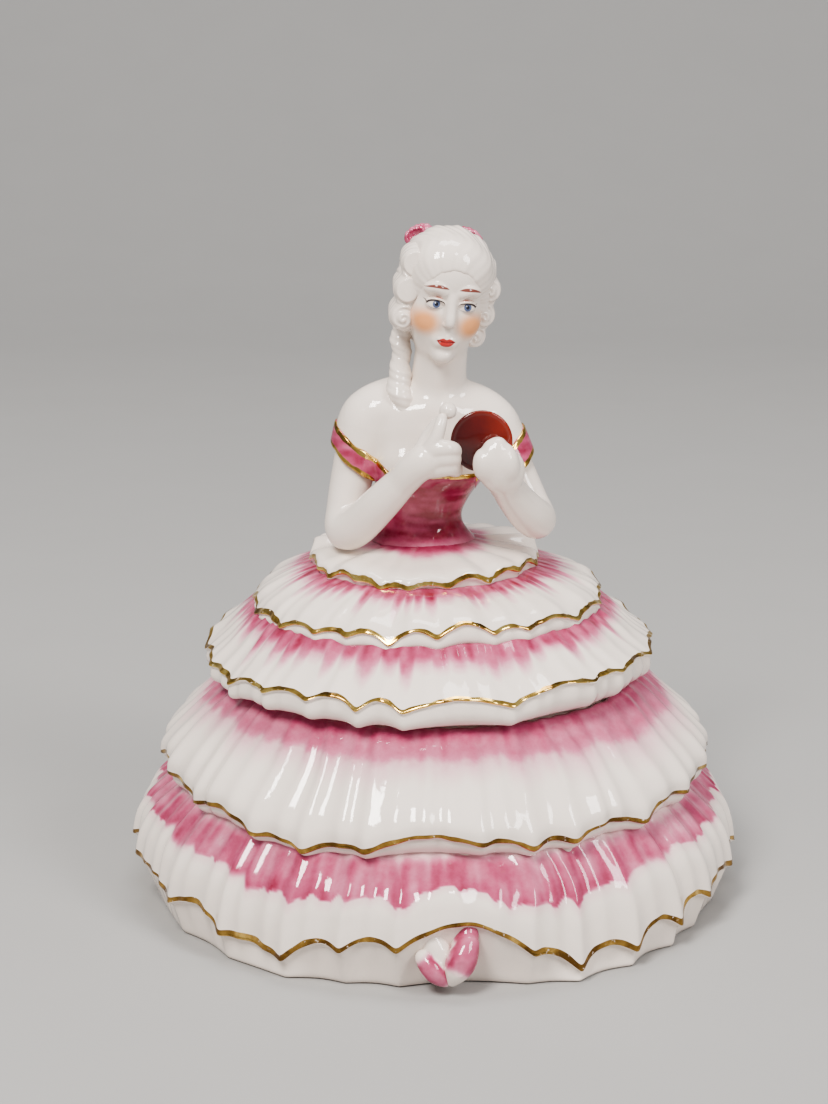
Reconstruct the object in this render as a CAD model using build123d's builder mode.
"""A glazed porcelain box shaped as a lady in a five-tier crinoline.

The two lower tiers are a bowl with a foot ring. The three upper tiers are a hollow lid that lifts
straight off it and carries the half figure: bust, bodice, arms, wig, compact and powder puff.
Millimetres, +Z up, the lady faces -Y, and the origin is the middle of the foot, on the table.
"""

from build123d import *
from dataclasses import dataclass
from math import cos, pi, sin
import os

# ---- Driving dimensions -------------------------------------------------------------------------
WALL = 3.0  # slip-cast wall
FOOT_INNER_R, FOOT_OUTER_R, FOOT_H = 56.0, 66.2, 6.0
FLOOR_UNDERSIDE, FLOOR_TOP = 2.5, 6.0
MOUTH_R = 40.5  # inside of the bowl's mouth
NECK_R = MOUTH_R + WALL
SHOULDER_Z = 49.0  # where the bowl's wall turns up into its neck
SEAT_Z = 54.0  # the lid rests on the bowl's rim here
FLANGE_DEPTH, FLANGE_WALL, FLANGE_CLEARANCE = 6.5, 2.6, 0.7
LID_SEAT_OUTER_R = 45.8
BOX_TIER_SPLIT = 28.0  # the hem flounce ends and the upper flounce begins
LID_TIER_1, LID_TIER_2 = 65.5, 74.0  # where one flounce of the lid covers the next
LID_TOP = 80.0  # the bodice stands here
NECKLINE_Z = 98.0  # bodice below, bare shoulders above
FIGURE_LEAN = (-2.6, 0.6)  # the waist's and the neck's distance to the right of the axis
COMPACT_R, COMPACT_T = 6.7, 1.5
PUFF_R = 2.1


# ---- Pleated flounces ---------------------------------------------------------------------------
@dataclass(frozen=True)
class Flounce:
    """A pleated tier. levels are (height, mean radius, depth of the pleats there)."""

    pleats: int
    phase: float
    levels: tuple
    centre: tuple = (0.0, 0.0)


HEM_FLOUNCE = Flounce(
    pleats=32,
    phase=0.4,
    levels=(
        (FOOT_H + 0.2, 67.0, 0.6),
        (7.4, 68.9, 1.2),
        (9.5, 69.2, 1.4),
        (13.0, 68.6, 1.2),
        (16.8, 67.3, 1.0),
        (20.4, 65.0, 0.8),
        (23.6, 62.4, 0.6),
        (26.2, 60.0, 0.4),
        (BOX_TIER_SPLIT, 58.6, 0.3),
    ),
)
UPPER_FLOUNCE = Flounce(
    pleats=30,
    phase=1.9,
    levels=(
        (BOX_TIER_SPLIT, 60.6, 0.5),
        (29.2, 61.8, 1.0),
        (31.4, 61.7, 1.1),
        (34.6, 60.0, 0.9),
        (38.6, 56.8, 0.8),
        (42.6, 53.4, 0.6),
        (46.6, 49.6, 0.4),
        (SHOULDER_Z + 0.6, 46.7, 0.2),
    ),
)
LID_HEM_FLOUNCE = Flounce(
    pleats=26,
    phase=3.1,
    levels=(
        (50.8, 48.6, 0.4),
        (52.0, 50.4, 0.7),
        (54.2, 51.3, 0.9),
        (56.0, 50.6, 1.0),
        (57.6, 48.2, 0.8),
        (59.4, 45.6, 0.7),
        (61.6, 43.0, 0.5),
        (63.6, 40.8, 0.4),
        (LID_TIER_1, 39.0, 0.3),
    ),
    centre=(-1.2, 0.0),
)
MIDDLE_FLOUNCE = Flounce(
    pleats=22,
    phase=4.4,
    levels=(
        (LID_TIER_1, 39.2, 0.4),
        (66.6, 40.1, 0.8),
        (68.2, 39.4, 0.9),
        (69.8, 37.0, 0.7),
        (71.0, 33.6, 0.5),
        (72.0, 30.6, 0.4),
        (73.0, 27.6, 0.3),
        (LID_TIER_2, 24.8, 0.2),
    ),
    centre=(-1.8, 0.0),
)
TOP_FLOUNCE = Flounce(
    pleats=17,
    phase=5.6,
    levels=(
        (LID_TIER_2, 24.8, 0.3),
        (75.4, 25.8, 0.7),
        (77.4, 25.9, 0.8),
        (79.4, 24.0, 0.6),
        (80.6, 19.0, 0.4),
        (81.6, 12.6, 0.1),
    ),
    centre=(-2.4, 0.0),
)
POINTS_PER_PLEAT = 4


def pleated_section(flounce, level):
    """One closed wavy outline. The pleats are of uneven width, as gathered cloth is."""
    height, radius, depth = level
    points = []
    count = flounce.pleats * POINTS_PER_PLEAT
    for k in range(count):
        even = 2 * pi * k / count
        angle = even + 0.05 * sin(3 * even + flounce.phase) + 0.03 * sin(7 * even + 2 * flounce.phase)
        here = radius + depth * cos(flounce.pleats * even) * (0.8 + 0.2 * sin(5 * even + flounce.phase))
        points.append((flounce.centre[0] + here * cos(angle), flounce.centre[1] + here * sin(angle)))
    with BuildSketch(Plane.XY.offset(height)) as section:
        with BuildLine():
            Spline(*points, periodic=True)
        make_face()
    return section.sketch


def pleated_solid(flounce):
    """The tier's outer surface with its top and bottom closed flat."""
    with BuildPart() as tier:
        loft([pleated_section(flounce, level) for level in flounce.levels])
    return tier.part


# ---- Turned and drawn-out forms -----------------------------------------------------------------
def ovals(levels):
    """A loft through ellipses; each level is (height, x radius, y radius, centre x, centre y)."""
    sections = []
    for height, x_radius, y_radius, x, y in levels:
        with BuildSketch(Plane((x, y, height))) as section:
            Ellipse(x_radius, y_radius)
        sections.append(section.sketch)
    with BuildPart() as body:
        loft(sections)
    return body.part


def limb(*stations):
    """Tapered round segments with a ball at every station (x, y, z, radius)."""
    with BuildPart() as body:
        for x, y, z, radius in stations:
            with Locations((x, y, z)):
                Sphere(radius)
        for start, end in zip(stations, stations[1:]):
            along = Vector(*end[:3]) - Vector(*start[:3])
            ends = []
            for x, y, z, radius in (start, end):
                with BuildSketch(Plane(origin=(x, y, z), z_dir=along)) as ring:
                    Circle(radius)
                ends.append(ring.sketch)
            loft(ends)
    return body.part


# ---- Box ----------------------------------------------------------------------------------------
BOWL_OUTER_WALL = ((58.6, FLOOR_TOP), (61.6, 12.0), (60.6, 20.0), (56.4, 30.0), (50.4, 40.0), (45.6, SHOULDER_Z))
BOWL_INNER_WALL = ((54.5, FLOOR_TOP), (58.2, 12.5), (57.2, 20.0), (53.1, 29.0), (47.2, 38.6), (MOUTH_R, 47.0))

with BuildPart() as bowl_envelope:
    with BuildSketch(Plane.XZ):
        with BuildLine():
            Polyline(
                (0, SEAT_Z),
                (0, FLOOR_UNDERSIDE),
                (FOOT_INNER_R, FLOOR_UNDERSIDE),
                (FOOT_INNER_R, FLOOR_TOP),
                BOWL_OUTER_WALL[0],
            )
            Spline(*BOWL_OUTER_WALL)
            Polyline(BOWL_OUTER_WALL[-1], (NECK_R, SHOULDER_Z), (NECK_R, SEAT_Z), (0, SEAT_Z))
        make_face()
    revolve(axis=Axis.Z)

with BuildPart() as bowl:
    add(bowl_envelope.part)
    with BuildSketch(Plane.XZ):
        with BuildLine():
            Polyline((0, SEAT_Z), (0, FLOOR_TOP), BOWL_INNER_WALL[0])
            Spline(*BOWL_INNER_WALL)
            Polyline(BOWL_INNER_WALL[-1], (MOUTH_R, SEAT_Z), (0, SEAT_Z))
        make_face()
    revolve(axis=Axis.Z, mode=Mode.SUBTRACT)
    rim = bowl.edges().filter_by(GeomType.CIRCLE).group_by(Axis.Z)[-1]
    fillet(rim, radius=0.7)

with BuildPart() as foot_ring:
    with BuildSketch(Plane.XZ):
        with BuildLine():
            Polyline(
                (FOOT_OUTER_R, FOOT_H),
                (FOOT_INNER_R, FOOT_H),
                (FOOT_INNER_R, 0),
                (FOOT_OUTER_R - 2.2, 0),
            )
            ThreePointArc((FOOT_OUTER_R - 2.2, 0), (FOOT_OUTER_R - 0.6, 2.0), (FOOT_OUTER_R, FOOT_H))
        make_face()
    revolve(axis=Axis.Z)
    fillet(foot_ring.edges().filter_by(GeomType.CIRCLE).group_by(Axis.Z)[0].sort_by(SortBy.RADIUS)[:1], 1.0)

with BuildPart() as upper_flounce:
    add(pleated_solid(UPPER_FLOUNCE))
    add(bowl_envelope.part, mode=Mode.SUBTRACT)

SHOE_ARCH_R, SHOE_ARCH_CENTRE = 8.5, (3.0, 5.0)
with BuildPart() as hem_flounce:
    add(pleated_solid(HEM_FLOUNCE))
    add(bowl_envelope.part, mode=Mode.SUBTRACT)
    # The hem lifts in an arch over the shoes.
    with BuildSketch(Plane.XZ.offset(64.5)):
        with Locations(SHOE_ARCH_CENTRE):
            Circle(SHOE_ARCH_R)
    extrude(amount=10.0, mode=Mode.SUBTRACT)

with BuildPart() as right_shoe:
    add(limb((0.6, -65.0, 6.4, 3.3), (-1.0, -68.0, 3.6, 2.9)))
    for neighbour in (foot_ring, hem_flounce, bowl_envelope):
        add(neighbour.part, mode=Mode.SUBTRACT)

with BuildPart() as left_shoe:
    add(limb((5.8, -65.0, 9.0, 3.4), (6.4, -68.2, 5.6, 3.1)))
    for neighbour in (right_shoe, foot_ring, hem_flounce, bowl_envelope):
        add(neighbour.part, mode=Mode.SUBTRACT)

# ---- Lid ----------------------------------------------------------------------------------------
FLANGE_OUTER_R = MOUTH_R - FLANGE_CLEARANCE
FLANGE_INNER_R = FLANGE_OUTER_R - FLANGE_WALL
LID_OUTER_WALL = ((LID_SEAT_OUTER_R, SEAT_Z), (43.6, 59.0), (37.6, 65.5), (29.0, 71.0), (19.5, 75.6), (10.0, LID_TOP))
LID_INNER_WALL = ((FLANGE_INNER_R, SEAT_Z), (35.8, 61.0), (28.2, 67.4), (18.4, 72.4), (10.0, 75.8))
VENT_R = 4.5  # the casting is open from the lid up into the figure

with BuildPart() as lid_envelope:
    with BuildSketch(Plane.XZ):
        with BuildLine():
            Spline(*LID_OUTER_WALL)
            Polyline(LID_OUTER_WALL[-1], (0, LID_TOP), (0, SEAT_Z), LID_OUTER_WALL[0])
        make_face()
    revolve(axis=Axis.Z)

FIGURE_HOLLOW = ovals(
    (
        (70.0, VENT_R, VENT_R, FIGURE_LEAN[0], 0.0),
        (84.0, 4.6, 3.8, FIGURE_LEAN[0], 0.0),
        (97.0, 7.2, 5.4, -1.2, -0.6),
        (105.0, 7.2, 4.8, -0.6, -0.2),
        (111.0, 3.0, 2.6, 0.2, 0.0),
    )
)

with BuildPart() as lid_shell:
    add(lid_envelope.part)
    with BuildSketch(Plane.XZ):
        with BuildLine():
            Spline(*LID_INNER_WALL)
            Polyline(LID_INNER_WALL[-1], (0, 76.4), (0, SEAT_Z), LID_INNER_WALL[0])
        make_face()
    revolve(axis=Axis.Z, mode=Mode.SUBTRACT)
    add(FIGURE_HOLLOW, mode=Mode.SUBTRACT)

with BuildPart() as locating_flange:
    with BuildSketch(Plane.XY.offset(SEAT_Z)):
        Circle(FLANGE_OUTER_R)
        Circle(FLANGE_INNER_R, mode=Mode.SUBTRACT)
    extrude(amount=-FLANGE_DEPTH)
    fillet(locating_flange.edges().group_by(Axis.Z)[0], radius=0.8)

LIP_RECESS_R = 46.0  # the lid's lip hangs outside this radius, round the bowl's neck
with BuildPart() as lid_hem_flounce:
    add(pleated_solid(LID_HEM_FLOUNCE))
    add(lid_envelope.part, mode=Mode.SUBTRACT)
    with BuildSketch(Plane.XY.offset(SEAT_Z)):
        Circle(LIP_RECESS_R)
    extrude(amount=-10.0, mode=Mode.SUBTRACT)

with BuildPart() as middle_flounce:
    add(pleated_solid(MIDDLE_FLOUNCE))
    add(lid_envelope.part, mode=Mode.SUBTRACT)

# ---- Half figure --------------------------------------------------------------------------------
with BuildPart() as bodice_form:
    add(
        ovals(
            (
                (LID_TOP, 10.4, 8.8, FIGURE_LEAN[0], 0.0),
                (82.0, 9.0, 7.6, FIGURE_LEAN[0], 0.0),
                (85.5, 8.2, 6.8, -2.5, 0.0),
                (90.0, 9.8, 7.8, -2.0, -0.4),
                (94.5, 12.4, 9.2, -1.5, -0.8),
                (NECKLINE_Z, 13.6, 9.8, -1.1, -1.0),
            )
        )
    )

with BuildPart() as bodice:
    add(bodice_form.part)
    add(FIGURE_HOLLOW, mode=Mode.SUBTRACT)

with BuildPart() as bust_form:
    add(
        ovals(
            (
                (NECKLINE_Z, 13.6, 9.8, -1.1, -1.0),
                (102.0, 15.6, 9.4, -0.9, -0.8),
                (106.0, 16.0, 8.0, -0.6, -0.3),
                (109.6, 14.4, 6.8, -0.5, 0.0),
                (112.6, 10.0, 6.2, 0.1, 0.0),
                (116.0, 6.1, 5.8, FIGURE_LEAN[1], 0.0),
                (120.0, 5.9, 5.7, 0.9, -0.2),
                # The head, from the chin to the crown, is turned down and towards her left shoulder.
                (122.6, 6.0, 6.6, 1.4, -2.4),
                (126.6, 7.2, 8.0, 1.8, -3.0),
                (131.4, 8.3, 9.0, 2.0, -2.2),
                (136.6, 8.9, 9.6, 2.3, -1.2),
                (141.6, 8.5, 9.2, 2.7, -0.6),
                (145.4, 6.6, 7.2, 3.0, -0.2),
                (147.8, 3.4, 3.8, 3.2, 0.0),
            )
        )
    )

with BuildPart() as head_and_bust:
    add(bust_form.part)
    add(FIGURE_HOLLOW, mode=Mode.SUBTRACT)

with BuildPart() as top_flounce:
    add(pleated_solid(TOP_FLOUNCE))
    add(lid_envelope.part, mode=Mode.SUBTRACT)
    add(bodice_form.part, mode=Mode.SUBTRACT)

# The lady's right arm is on -X. Its hand lifts a powder puff to her collarbone.
with BuildPart() as right_arm:
    add(limb((-17.6, 0.0, 105.0, 4.4), (-19.6, -3.5, 95.0, 3.9), (-20.4, -8.0, 85.4, 3.5)))
    add(limb((-20.4, -8.0, 85.4, 3.5), (-13.0, -14.5, 92.2, 3.4), (-6.4, -18.2, 98.6, 2.5)))
    add(limb((-6.4, -18.2, 98.6, 2.5), (-4.2, -18.8, 102.4, 3.0), (-2.4, -19.0, 105.0, 2.4)))
    add(limb((-2.4, -19.0, 105.6, 1.5), (0.4, -18.6, 109.2, 1.2), (1.4, -17.2, 111.6, 1.0)))
    add(limb((-0.4, -20.0, 103.4, 1.4), (2.0, -19.6, 106.6, 1.2), (2.4, -17.8, 110.0, 1.0)))
    add(limb((0.2, -19.4, 101.2, 1.3), (3.2, -18.4, 102.4, 1.2), (3.0, -16.6, 104.6, 1.0)))
    add(limb((-5.4, -17.0, 104.0, 1.4), (-3.0, -15.6, 108.0, 1.2), (-0.8, -15.4, 110.6, 1.0)))
    add(bodice_form.part, mode=Mode.SUBTRACT)
    add(bust_form.part, mode=Mode.SUBTRACT)

# The left arm holds the open compact up in front of her.
with BuildPart() as left_arm:
    add(limb((16.8, 0.0, 105.4, 4.4), (20.6, -3.5, 95.4, 3.8), (23.2, -8.0, 86.6, 3.4)))
    add(limb((23.2, -8.0, 86.6, 3.4), (18.8, -14.2, 91.8, 3.3), (14.4, -18.8, 96.8, 2.5)))
    add(limb((14.4, -18.8, 96.8, 2.5), (13.6, -21.0, 100.6, 3.1), (13.0, -21.8, 104.0, 2.8)))
    for x, z in ((10.6, 104.6), (12.4, 106.0), (14.4, 106.2), (16.2, 105.2)):
        add(limb((x, -22.0, z - 2.2, 1.3), (x - 0.3, -21.4, z + 0.6, 1.2), (x - 0.6, -20.2, z + 2.4, 1.0)))
    add(limb((15.6, -19.0, 99.6, 1.5), (14.6, -17.2, 102.6, 1.3), (13.4, -16.6, 105.0, 1.1)))
    add(bodice_form.part, mode=Mode.SUBTRACT)
    add(bust_form.part, mode=Mode.SUBTRACT)

with BuildPart() as compact:
    with BuildSketch(Plane(origin=(9.8, -18.6, 106.4), x_dir=(1, 0.05, 0), z_dir=(0.05, -0.99, -0.05))):
        Circle(COMPACT_R)
    extrude(amount=COMPACT_T / 2, both=True)
    fillet(compact.edges(), radius=0.5)
    add(left_arm.part, mode=Mode.SUBTRACT)
    add(right_arm.part, mode=Mode.SUBTRACT)

with BuildPart() as powder_puff:
    with Locations((2.0, -15.6, 112.6)):
        Sphere(PUFF_R)
    add(right_arm.part, mode=Mode.SUBTRACT)

BAND_LENGTH, BAND_T = 6.0, 1.1


def sleeve_band(start, end, inner_radius):
    """A cuff of drooping cloth round the upper arm, from its axis's start towards end."""
    with BuildPart() as band:
        with BuildSketch(Plane(origin=start, z_dir=Vector(*end) - Vector(*start))):
            Circle(inner_radius + BAND_T)
            Circle(inner_radius, mode=Mode.SUBTRACT)
        extrude(amount=BAND_LENGTH)
    return band.part


with BuildPart() as right_sleeve_band:
    add(sleeve_band((-17.7, -0.3, 104.6), (-19.6, -3.5, 95.0), 4.45))
    for neighbour in (bust_form, bodice_form, right_arm):
        add(neighbour.part, mode=Mode.SUBTRACT)

with BuildPart() as left_sleeve_band:
    add(sleeve_band((17.0, -0.3, 104.8), (20.6, -3.5, 95.4), 4.45))
    for neighbour in (bust_form, bodice_form, left_arm):
        add(neighbour.part, mode=Mode.SUBTRACT)

# ---- Wig ----------------------------------------------------------------------------------------
with BuildPart() as hair:
    add(
        ovals(
            (
                (124.4, 6.2, 4.0, 1.4, 4.6),
                (128.0, 8.6, 6.8, 1.6, 3.6),
                (132.6, 10.3, 9.4, 1.8, 2.2),
                (138.0, 11.0, 10.9, 2.0, 1.2),
                (143.0, 10.4, 10.9, 2.2, 0.5),
                (147.0, 7.8, 8.4, 2.4, 0.3),
                (149.2, 4.6, 5.0, 2.6, 0.2),
                (150.0, 1.6, 1.8, 2.6, 0.2),
            )
        )
    )
    add(bust_form.part, mode=Mode.SUBTRACT)

CURL_HALF_LENGTH = 3.6


def side_curls(*rolls):
    """Rolled curls, one over the other, at one temple; each is (x, z, radius)."""
    with BuildPart() as curls:
        for x, z, radius in rolls:
            add(limb((x, -CURL_HALF_LENGTH, z, radius), (x, CURL_HALF_LENGTH, z, radius)))
        for neighbour in (hair, bust_form):
            add(neighbour.part, mode=Mode.SUBTRACT)
    return curls.part


with BuildPart() as right_side_curls:
    add(side_curls((-7.6, 141.4, 3.2), (-8.1, 135.6, 3.1), (-8.0, 130.0, 3.0)))

with BuildPart() as left_side_curls:
    add(side_curls((11.4, 137.0, 3.0), (11.8, 131.6, 2.9), (10.8, 126.6, 2.7)))

with BuildPart() as nape_ringlet:
    add(limb((-7.2, 2.2, 126.4, 2.2), (-7.4, 1.6, 121.0, 2.0), (-8.0, 0.8, 115.6, 2.4), (-6.6, -1.2, 111.4, 1.8)))
    for neighbour in (right_side_curls, hair, bust_form):
        add(neighbour.part, mode=Mode.SUBTRACT)

BOW_KNOT = (1.6, 11.2, 145.0, 1.9)
with BuildPart() as hair_bow:
    add(limb(BOW_KNOT, (-4.8, 9.2, 147.2, 2.2)))
    add(limb(BOW_KNOT, (8.2, 9.2, 146.6, 2.2)))
    for neighbour in (hair, bust_form):
        add(neighbour.part, mode=Mode.SUBTRACT)

# ---- Output -------------------------------------------------------------------------------------
PIECES = {
    "bowl": bowl,
    "foot_ring": foot_ring,
    "hem_flounce": hem_flounce,
    "upper_flounce": upper_flounce,
    "right_shoe": right_shoe,
    "left_shoe": left_shoe,
    "lid_shell": lid_shell,
    "locating_flange": locating_flange,
    "lid_hem_flounce": lid_hem_flounce,
    "middle_flounce": middle_flounce,
    "top_flounce": top_flounce,
    "bodice": bodice,
    "head_and_bust": head_and_bust,
    "right_arm": right_arm,
    "left_arm": left_arm,
    "right_sleeve_band": right_sleeve_band,
    "left_sleeve_band": left_sleeve_band,
    "compact": compact,
    "powder_puff": powder_puff,
    "hair": hair,
    "right_side_curls": right_side_curls,
    "left_side_curls": left_side_curls,
    "nape_ringlet": nape_ringlet,
    "hair_bow": hair_bow,
}
os.makedirs("parts", exist_ok=True)
for name, piece in PIECES.items():
    piece.part.label = name
    export_step(piece.part, f"parts/{name}.step")
    print(name, "solids", len(piece.part.solids()), "volume", round(piece.part.volume))
